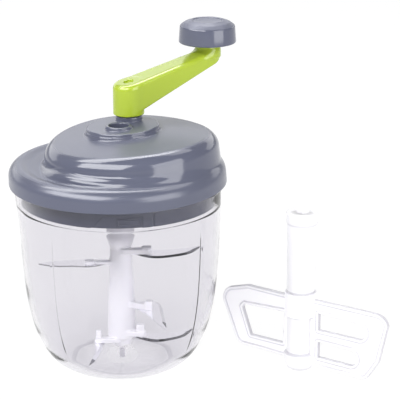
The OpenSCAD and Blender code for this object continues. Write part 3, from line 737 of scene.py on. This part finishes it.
# ------------------------------------------------------------------ plug ring
def plug_piece():
    prof = fillet([(0, 135.5), (65.2, 135.5), (65.6, 123.5), (68.2, 123.5), (68.2, 135.45), (70.5, 135.5), (70.5, 137.7), (0, 138)],
                  [0, 1.0, 0.5, 0.5, 0.1, 0.3, 0.5, 0], 4)
    # split the skirt finely so that its relief has geometry
    rows = []
    for a, b in zip(prof[:-1], prof[1:]):
        n = 1
        if abs(a[0] - 68.2) < 0.2 and abs(b[0] - 68.2) < 0.2 and abs(b[1] - a[1]) > 3:
            n = 40
        rows += [tuple(a + (b - a) * k / n) for k in range(n)]
    rows.append(tuple(prof[-1]))
    th = list(np.linspace(0, 2 * pi, 200, endpoint=False)) + list(np.radians(np.arange(-110, -62, 0.33)))
    th = np.array(sorted(t % (2 * pi) for t in th))
    th = th[np.concatenate([[True], np.diff(th) > 2e-4])]

    def shape(t, r, z, i):
        rr = np.full(len(t), r, float)
        if 67.5 < r < 68.4 and z < 135.4:
            u = 68.2 * ((t + pi / 2 + pi) % (2 * pi) - pi)    # arc length from the front, mm
            left = -16.5 + (z - 123.5) * 1.05
            panel = sstep(u, left - 0.4, left + 0.4) * (1 - sstep(u, 18.2, 18.8)) * (1 - sstep(z, 131.2, 131.8))
            rr = rr - 0.9 * panel
            qx = np.abs(u - 9.2) - 7.4
            qz = abs(z - 127.4) - 2.2
            q = np.maximum(qx, qz)
            frame_line = (1 - sstep(np.abs(q), 0.35, 0.65)) * (1 if abs(z - 127.4) < 3.2 else 0)
            rr = rr + 0.75 * frame_line * panel
            line = 1 - sstep(np.abs(u - 26.0), 0.3, 0.6)
            rr = rr - 0.5 * line
        return rr
    return lathe("plug_skirt", rows, th, SLATE_IN, "lid", ["plug_ring"], shape=shape, flip=False)


plug_piece()

# ------------------------------------------------------------------ crank
CX, CY, CA, CL = 6.3, 21.0787, math.radians(38.5), 70.7
ROT = np.array([[math.cos(CA), -math.sin(CA), 0], [math.sin(CA), math.cos(CA), 0], [0, 0, 1]])


def arm_field(d, w, z):
    t = np.clip(d, 0, CL)
    R = 10.9 - 2.3 * t / CL
    plan = np.hypot(d - t, w) - R
    top = (z - (202.0 + 0.185 * d)) * 0.983
    under = ((180.85 + 0.346 * d) - z) * 0.945
    bar = smax(smax(plan, top, 3.6), under, 1.6)
    hub = smax(smax(np.hypot(d, w) - 10.9, top, 3.6), 179.0 - z, 1.0)
    f = smin(hub, bar, 1.0)
    neck = smax(np.hypot(d - CL, w) - 8.5, z - 220.1, 0.8)
    neck = np.maximum(neck, 212.0 - z)
    f = smin(f, neck, 5.0)
    f = np.maximum(f, 179.0 - z)
    r = np.hypot(d, w)
    hole = np.maximum(r - 3.4, 198.2 - z)
    f = smax(f, -hole, 0.5)
    sock = np.maximum(r - 4.0, z - 184)
    return np.maximum(f, -sock)


sdf_piece("crank_body", arm_field, (-12.6, -13.2, 177.6), (84.4, 13.2, 222.0), 0.62, LIME, "crank", ["crank_arm"],
          (ROT, np.array([CX, CY, 0])))

KX, KY = CX + CL * math.cos(CA), CY + CL * math.sin(CA)


def knob_pieces():
    z0 = 220.7
    prof = fillet([(6, z0 + 9.0), (6, z0 + 0.8), (3.06, z0 + 0.8), (3.06, z0 + 11), (5.6, z0 + 11), (5.6, z0 + 14.0),
                   (10.6, z0 + 14.0), (10.6, z0 + 15.75), (11.7, z0 + 16.35), (16.4, z0 + 14.9), (19.95, z0 + 12.3), (20.85, z0),
                   (18.4, z0), (17.8, z0 + 9.0)],
                  [0, 0.4, 0.3, 0.2, 0.2, 0.2, 0.2, 0.2, 1.0, 6.0, 2.0, 1.4, 0.7, 0], 7)
    lathe("knob_body", [tuple(p) for p in prof], 96, SLATE_KNOB, "knob", ["knob"], (KX, KY))
    cap = fillet([(0, z0 + 14.05), (10.4, z0 + 14.05), (10.5, z0 + 15.72), (6.0, z0 + 15.1), (0, z0 + 14.9)], [0, 0.1, 0.12, 4, 0], 5)
    lathe("knob_dish", [tuple(p) for p in cap], 72, SLATE_KNOB, "knob", ["knob_cap"], (KX, KY))


knob_pieces()

# ------------------------------------------------------------------ rotor
# name, blade underside, arm underside, arm (x, y, direction, length, half width, height), block (x, y, size x, size y, height), stub (x, y)
ARMS = [("blade_top_right", 84, 85, (3, -7, 0, 16.2, 2.8, 4.0), (18.5, -6.2, 7.1, 5.6, 5.2), (18.5, -6.2)),
        ("blade_top_left", 74.6, 75.6, (-3, -2.8, 180, 16.5, 2.2, 2.4), (-22, -3.8, 7.1, 6.0, 3.2), (-18, -2.8)),
        ("blade_middle", 42.6, 43.6, (3, -3, -24, 16.5, 2.8, 4.4), (19.9, -11, 5.6, 5.0, 7.2), (17.6, -9.5)),
        ("blade_low_right", 19.6, 22.2, (3, -7, 0, 12.1, 2.8, 3.8), (13.6, -6.4, 5.6, 5.0, 8.6), (14.5, -5.6)),
        ("blade_low_front", 16.6, 17.6, (-3, -7.4, 184, 13.1, 2.8, 3.4), (-16.2, -8, 3.8, 3.8, 9.0), (-15.9, -8.1))]
COL_Z = [14.2, 18, 20.6, 24, 40, 67, 80, 88, 95.6, 97, 120]
COL_R = [7.3, 7.4, 10.2, 10.2, 9.7, 8.6, 7.9, 7.5, 9.9, 10.0, 10.0]


def column_field(x, y, z):
    r = np.hypot(x, y)
    R = np.interp(z, COL_Z, COL_R)
    f = smax(smax((r - R) * 0.95, z - 120, 1.2), 14.2 - z, 1.2)
    # fine parting line round the column
    f = f + 0.16 * np.exp(-((z - 67) / 0.5) ** 2)
    for name, zb, za, arm, blk, stub in ARMS:
        t = math.radians(arm[2])
        u, v = (x - arm[0]) * math.cos(t) + (y - arm[1]) * math.sin(t), -(x - arm[0]) * math.sin(t) + (y - arm[1]) * math.cos(t)
        bar = np.hypot(u - np.clip(u, 0, arm[3]), v) - arm[4]
        f = smin(f, round_slab(bar, z, za, za + arm[5], 0.7), 1.3)
        qx, qy = np.abs(x - blk[0]) - blk[2] / 2 + 1.1, np.abs(y - blk[1]) - blk[3] / 2 + 1.1
        flat = np.hypot(np.maximum(qx, 0), np.maximum(qy, 0)) + np.minimum(np.maximum(qx, qy), 0) - 1.1
        f = smin(f, round_slab(flat, z, za + 0.02, za + blk[4], 0.8), 0.7)
        if za - zb > 1.1:
            f = smin(f, round_slab(np.hypot(x - stub[0], y - stub[1]) - 2.2, z, zb + 1.0, za + 1, 0.3), 0.3)
    hexd = np.maximum(np.maximum(np.abs(y * 0.8660254 + x * 0.5), np.abs(y * 0.8660254 - x * 0.5)), np.abs(x)) - 4.33
    sock = np.maximum(hexd, 105.5 - z)
    f = smax(f, -sock, 0.3)
    bore = np.maximum(r - 4.2, z - 30)
    return smax(f, -bore, 0.3)


sdf_piece("rotor_column", column_field, (-26.9, -14.6, 12.8), (24.0, 12.0, 121.4), 0.6, WHITE_IN, "rotor", ["blade_column"])

# each blade: the ground edge from root to tip or tip to root, then the back, going round anticlockwise from above
EDGE = [(9.9, -5), (14, -9.2), (19, -12.8), (25, -14.6), (31, -14), (37, -12), (42.5, -9.6), (47, -6.9), (51, -2.6), (54, 3), (57, 10)]
SPINE = [(57, 10), (53, 8.6), (48, 5.6), (43, 3.4), (37, 1.8), (30, 1.2), (24, 1.2), (18, 1.2), (13, 0.2), (10.8, -1.6)]


def shorter(pts):
    out = []
    for q in pts:
        a, b = (q[0] if q[0] < 20 else 20 + (q[0] - 20) * 0.86), q[1] * 0.9
        out.append((a - b * 0.02, b + a * 0.02))
    return out


BLADES = [("blade_top_right", 84, EDGE, SPINE, 2.3, 0.3, 99),
          ("blade_top_left", 74.6,
           [(-9.8, 7.5), (-14, 9.4), (-25, 9.1), (-32, 7.6), (-39, 5.8), (-46, 4.4), (-52, 2), (-58.5, -2.9)],
           [(-58.5, -2.9), (-54.7, -4.8), (-47.8, -7.2), (-41.5, -7.7), (-34, -7.2), (-28, -7.8), (-23, -8.1), (-18, -6.6), (-13.6, -3.8), (-10.8, -2)], 1.6, 0.7, 99),
          ("blade_middle", 42.6,
           [(33, -47.6), (32.6, -40), (31.8, -30), (30.6, -19), (29.6, -7.4), (27, 3.5), (23, 8.5), (19, 8), (14, 3), (10.9, -2)],
           [(10.4, -3.6), (9.8, -7.5), (13.5, -12), (18.6, -19.5), (23.6, -29.5), (28.5, -40), (33, -47.6)], 2.2, 0.12, -34),
          ("blade_low_right", 19.6, shorter(EDGE), shorter(SPINE), 2.3, 0.3, 99),
          ("blade_low_front", 16.6,
           [(-20.4, -47), (-17.5, -40), (-15.7, -32.5), (-13.9, -25), (-13.1, -18), (-12.6, -11), (-11.5, -4.5), (-12.5, -1.6)],
           [(-12.9, -1.5), (-16.5, -1.6), (-19.6, -4), (-19.9, -10), (-19.2, -20), (-18.9, -30), (-19.6, -40), (-20.4, -47)], 2.0, 0.12, -38)]


def blade_piece(name, z0, edge, spine, width, back, full):
    e = curve(edge, 64)
    s = curve(spine, 48)
    if np.hypot(*(s[0] - e[-1])) < 0.1:
        s = s[1:]
    if np.hypot(*(s[-1] - e[0])) < 0.1:
        s = s[:-1]
    ring = np.vstack([e, s])
    r = np.maximum(np.hypot(ring[:, 0], ring[:, 1]), 1e-6)
    ring = ring * np.maximum(1, 10.85 / r)[:, None]
    n = len(ring)
    k_edge = len(e)
    tan = np.roll(ring, -1, 0) - np.roll(ring, 1, 0)
    tan /= np.maximum(np.linalg.norm(tan, axis=1), 1e-9)[:, None]
    inward = np.stack([-tan[:, 1], tan[:, 0]], 1)
    i = np.arange(n)
    b = np.clip(np.minimum(i - 2, k_edge - 2 - i) / 8.0, 0, 1)
    wid = 0.12 + width * b * (i < k_edge)
    top = ring + inward * wid[:, None]
    V = [(p[0], p[1], z0) for p in ring] + [(p[0], p[1], z0 + 0.12) for p in ring] + [(p[0], p[1], z0 + 1.0) for p in top]
    F = [tuple(range(n))[::-1]]
    # painted shade: side faces are marked for the dark colour, fully along the edge where y < full, 0.25 beyond it, and
    # back along the spine
    ground = [0.0]
    for a in range(2):
        for k in range(n):
            k2 = (k + 1) % n
            F.append((a * n + k, a * n + k2, (a + 1) * n + k2, (a + 1) * n + k))
            x, y = ring[k]
            ground.append(back if k >= k_edge - 1 else 1.0 if y < full else 0.25)
    F.append(tuple(range(2 * n, 3 * n)))
    ground.append(0.0)
    me = mesh_of(name + "_plate", np.array(V) * MM, F)
    bm = bmesh.new()
    bm.from_mesh(me)
    lay = bm.faces.layers.float.new("ground")
    bm.faces.ensure_lookup_table()
    for f, v in zip(bm.faces, ground):
        f[lay] = v
    bmesh.ops.recalc_face_normals(bm, faces=bm.faces)
    bmesh.ops.triangulate(bm, faces=[f for f in bm.faces if len(f.verts) > 4])
    bm.to_mesh(me)
    bm.free()
    return put(name + "_plate", me, BLADE, "rotor", [name], smooth=False)


for b in BLADES:
    blade_piece(*b)

# ------------------------------------------------------------------ paddle
PX, PY, PA, PH = 127.5, -13.8, math.radians(-35), 118.0
PROT = np.array([[math.cos(PA), -math.sin(PA), 0], [math.sin(PA), math.cos(PA), 0], [0, 0, 1]])
PT = np.array([PX, PY, 0])


def arc(cx, cz, r, a0, a1, n):
    return [(cx + r * math.cos(math.radians(a0 + (a1 - a0) * i / n)), cz + r * math.sin(math.radians(a0 + (a1 - a0) * i / n))) for i in range(n + 1)]


RIGHT = [(8.5, 5), (8.5, 54.8), (50, 55.4)] + arc(61.4, 45.6, 9.8, 88, 16, 8) + [(64.6, 20)] + arc(50.4, 12.4, 8, -28, -84, 7)
LEFT = [(-8.5, 54), (-8.5, 6.6), (-40, 7.2)] + arc(-46.6, 15, 8, -100, -160, 7) + arc(-55.4, 40.4, 10, 188, 112, 8) + [(-44, 54.2)]
SLOT1 = [(16, 33), (16, 45.4)] + arc(48, 39.4, 6, 88, -90, 14)
SLOT2 = [(16, 12.4), (16, 24)] + arc(41.6, 18.2, 5.8, 88, -88, 14)
WINDOW = [(-13, 40), (-46, 38.2), (-47.6, 36.4), (-40.4, 17), (-14, 17.2)]


def wings_field(s, w, z):
    a = np.minimum(poly_sdf(s, z, RIGHT), poly_sdf(s, z, LEFT))
    holes = np.minimum(poly_sdf(s, z, SLOT1), np.minimum(poly_sdf(s, z, SLOT2), poly_sdf(s, z, WINDOW) - 0.6))
    plate = smax(a, -holes, 0.4)
    # a raised rim follows every outline
    half = 1.45 + 0.55 * (1 - sstep(-plate, 1.7, 2.5))
    f = round_slab(plate, w, -2.0, 2.0, 0.9)
    f = smax(f, np.abs(w) - half, 0.3)
    r = np.hypot(s, w)
    sleeve = round_slab(r - 11.2, z, 41.2, 59.0, 0.7)
    f = smin(f, sleeve, 0.8)
    return smax(f, 9.42 - r, 0.3)


wings = sdf_piece("paddle_blades", wings_field, (-67.5, -12.6, 2.6), (73.5, 12.6, 61), 0.62, WHITE_PAD, "paddle", ["paddle_wings"],
                  (PROT, PT))


def mark_edges(o):
    """The cut sides, the foot of the raised rims and the sleeve ends are marked for the material's painted shade."""
    me = o.data
    P = np.empty(len(me.vertices) * 3)
    me.vertices.foreach_get("co", P)
    P = (P.reshape(-1, 3) / MM - PT) @ PROT
    s, w, z = P[:, 0], P[:, 1], P[:, 2]
    a = np.minimum(poly_sdf(s, z, RIGHT), poly_sdf(s, z, LEFT))
    holes = np.minimum(poly_sdf(s, z, SLOT1), np.minimum(poly_sdf(s, z, SLOT2), poly_sdf(s, z, WINDOW) - 0.6))
    plate = smax(a, -holes, 0.4)
    side = sstep(plate, -0.7, -0.1)
    foot = 0.9 * (1 - sstep(np.abs(-plate - 2.3), 0.25, 0.85))
    wall = 1 - sstep(np.hypot(s, w), 11.3, 12.6)
    r = np.hypot(s, w)
    ends = 0.6 * np.maximum(1 - sstep(z, 41.3, 42.0), sstep(z, 58.2, 58.9)) * (r > 9.8) * (r < 11.7) * (z > 40.6)
    mark = np.maximum(np.maximum(side, foot) * (1 - wall), ends)
    me.attributes.new("edge", "FLOAT", "POINT").data.foreach_set("value", np.clip(mark, 0, 1).astype(np.float32))


mark_edges(wings)


def mark_rings(o, bands):
    """Marks the joint lines and the foot round the post for painted shade: (from z, to z, how much)."""
    me = o.data
    P = np.empty(len(me.vertices) * 3)
    me.vertices.foreach_get("co", P)
    P = P.reshape(-1, 3) / MM
    r = np.hypot(P[:, 0] - PX, P[:, 1] - PY) if np.abs(P[:, 0]).max() > 60 else np.hypot(P[:, 0], P[:, 1])
    v = np.zeros(len(P))
    for a, b, k in bands:
        v[(P[:, 2] >= a) & (P[:, 2] <= b) & (r > 8.0)] = k
    me.attributes.new("edge", "FLOAT", "POINT").data.foreach_set("value", v.astype(np.float32))


def paddle_col():
    prof = fillet([(0, 26), (2.55, 26), (2.55, 0), (6, 0), (9, 1.6), (10.6, 4.6), (11, 8), (11, 12.6), (9.2, 13), (9.2, 13.7), (9.2, 14.2), (9.2, 40.9), (9.38, 41.2), (9.38, 59),
                   (9.9, 59.4), (9.92, 60.2), (9.93, 60.7), (10.37, PH - 9.3), (10.38, PH - 8.8), (10.4, PH - 8.05), (5.0, PH - 8.05), (5.0, PH - 20), (0, PH - 20)],
                  [0, 0.1, 0.3, 1.5, 2.5, 2.5, 2.0, 0.5, 0.2, 0, 0, 0.1, 0.1, 0.2, 0.3, 0, 0, 0, 0, 0.2, 0.2, 0.2, 0], 4)
    post = lathe("paddle_post", [tuple(p) for p in prof], 80, WHITE_POST, "paddle", ["paddle_column"], (PX, PY))
    mark_rings(post, [(0.3, 2.6, 0.6), (12.2, 13.75, 0.8), (59.1, 60.3, 0.7), (PH - 8.9, PH - 8, 0.6)])
    cap = fillet([(5.0, PH - 8), (11, PH - 8), (11.07, PH - 7), (11.4, PH - 1), (10.9, PH), (5.0, PH)], [0, 0.3, 0, 0.8, 0.5, 0.3], 4)
    top = lathe("paddle_top", [tuple(p) for p in cap], 80, WHITE_POST, "paddle", ["paddle_cap"], (PX, PY))
    mark_rings(top, [(PH - 8.1, PH - 7.6, 0.5)])


paddle_col()

# ------------------------------------------------------------------ carried-over CAD nodes
GIVEN = {"pivot_pin": PIN, "gear_plate": DARK, "gear_plate_screws": STEEL, "plug_ring_screws": STEEL, "crank_bush": SLATE_IN,
         "crank_bush_bottom": WHITE, "spindle_bush_top": DARK, "spindle_bush_bottom": WHITE, "crank_shaft": STEEL, "crank_gear": WHITE,
         "crank_screw": STEEL, "crank_screw_plug": LIME, "knob_post": STEEL, "drive_spindle": WHITE, "column_bush": DARK}
for n, o in NODES.items():
    m = GIVEN.get(n, SLATE)
    o.data.materials.clear()
    o.data.materials.append(m)


# ------------------------------------------------------------------ stage
def stage_floor():
    me = bpy.data.meshes.new("floor")
    s = 12.0
    me.from_pydata([(-s, -s, 0), (s, -s, 0), (s, s, 0), (-s, s, 0)], [], [(0, 1, 2, 3)])
    o = bpy.data.objects.new("floor", me)
    scene.collection.objects.link(o)
    m, nt, b = new_mat("floor_paper")
    b.inputs["Base Color"].default_value = (0.12, 0.12, 0.12, 1)
    b.inputs["Roughness"].default_value = 0.95
    b.inputs["Specular IOR Level"].default_value = 0.0
    b.inputs["Emission Color"].default_value = (1, 1, 1, 1)
    b.inputs["Emission Strength"].default_value = 0.93
    me.materials.append(m)


stage_floor()

world = bpy.data.worlds.new("studio")
scene.world = world
world.use_nodes = True
bg = world.node_tree.nodes.get("Background") or world.node_tree.nodes.new("ShaderNodeBackground")
bg.inputs[0].default_value = (0.985, 0.985, 1.0, 1)
bg.inputs[1].default_value = 0.46
# seen directly or through clear plastic the backdrop is as white as the paper
wt = world.node_tree
lp = wt.nodes.new("ShaderNodeLightPath")
seen = wt.nodes.new("ShaderNodeMath")
seen.operation = "MAXIMUM"
wt.links.new(lp.outputs["Is Camera Ray"], seen.inputs[0])
wt.links.new(lp.outputs["Is Transmission Ray"], seen.inputs[1])
inner = wt.nodes.new("ShaderNodeMath")
inner.operation = "MULTIPLY"
inner.use_clamp = True
inner.inputs[1].default_value = 0.8
wt.links.new(lp.outputs["Transmission Depth"], inner.inputs[0])
bounced = wt.nodes.new("ShaderNodeMath")
bounced.operation = "MULTIPLY"
wt.links.new(inner.outputs[0], bounced.inputs[0])
wt.links.new(lp.outputs["Is Glossy Ray"], bounced.inputs[1])
most = wt.nodes.new("ShaderNodeMath")
most.operation = "MAXIMUM"
wt.links.new(seen.outputs[0], most.inputs[0])
wt.links.new(bounced.outputs[0], most.inputs[1])
white = wt.nodes.new("ShaderNodeBackground")
white.inputs[0].default_value = (1.0, 0.995, 1.0, 1)
white.inputs[1].default_value = 1.04
both = wt.nodes.new("ShaderNodeMixShader")
wt.links.new(most.outputs[0], both.inputs[0])
wt.links.new(bg.outputs[0], both.inputs[1])
wt.links.new(white.outputs[0], both.inputs[2])
wout = [n for n in wt.nodes if n.bl_idname == "ShaderNodeOutputWorld"][0]
wt.links.new(both.outputs[0], wout.inputs[0])


def area(name, loc, target, sx, sy, watts, color=(1, 1, 1)):
    d = bpy.data.lights.new(name, "AREA")
    d.shape = "RECTANGLE"
    d.size, d.size_y = sx, sy
    d.energy = watts
    d.color = color
    o = bpy.data.objects.new(name, d)
    scene.collection.objects.link(o)
    o.location = loc
    v = Vector(target) - Vector(loc)
    o.rotation_euler = v.to_track_quat("-Z", "Y").to_euler()
    return o


def box_at(name, az, el, dist, wide, high, radiance, color=(1, 1, 1)):
    """Softbox seen from the lid at azimuth az (0 is the front, 90 the right) and elevation el, sizes in degrees."""
    a, e = math.radians(az), math.radians(el)
    c = (0.01, 0.0, 0.16)
    loc = (c[0] + dist * math.cos(e) * math.sin(a), c[1] - dist * math.cos(e) * math.cos(a), c[2] + dist * math.sin(e))
    sx, sy = 2 * dist * math.tan(math.radians(wide / 2)), 2 * dist * math.tan(math.radians(high / 2))
    return area(name, loc, c, sx, sy, radiance * pi * sx * sy, color)


def gloss_only(o):
    """A card that only shows in glossy and clear surfaces."""
    o.visible_diffuse = False
    o.visible_transmission = False
    return o


# soft light
for soft in (box_at("left_soft", -48, 42, 1.5, 60, 17, 8.0), box_at("right_soft", 50, 16, 1.4, 42, 44, 2.2)):
    soft.visible_transmission = False
    soft.visible_glossy = False
# cards seen in the gloss
gloss_only(box_at("left_card", -47, 43, 1.45, 62, 33, 10.0))
gloss_only(box_at("top_left_card", -150, 62, 1.5, 56, 26, 8.5))
gloss_only(box_at("top_right_card", 150, 62, 1.5, 56, 24, 3.0))
gloss_only(box_at("right_card", 50, 15, 1.35, 42, 46, 5.0))
gloss_only(box_at("back_card", 180, 19, 2.6, 110, 22, 1.45))

# ------------------------------------------------------------------ camera
cam = bpy.data.cameras.new("camera")
cam.sensor_width = 36.0
cam.lens = 36.0 * 1646.6 / 400.0
cam.clip_start, cam.clip_end = 0.05, 60
co = bpy.data.objects.new("camera", cam)
scene.collection.objects.link(co)
co.location = (0.0563, -1.10166, 0.47567)
co.rotation_euler = (math.radians(90 - 17.81), 0, 0)
scene.camera = co

scene.view_settings.view_transform = "Standard"
scene.view_settings.look = "None"
scene.view_settings.exposure = 0.0
scene.view_settings.gamma = 1.0

bpy.context.view_layer.update()
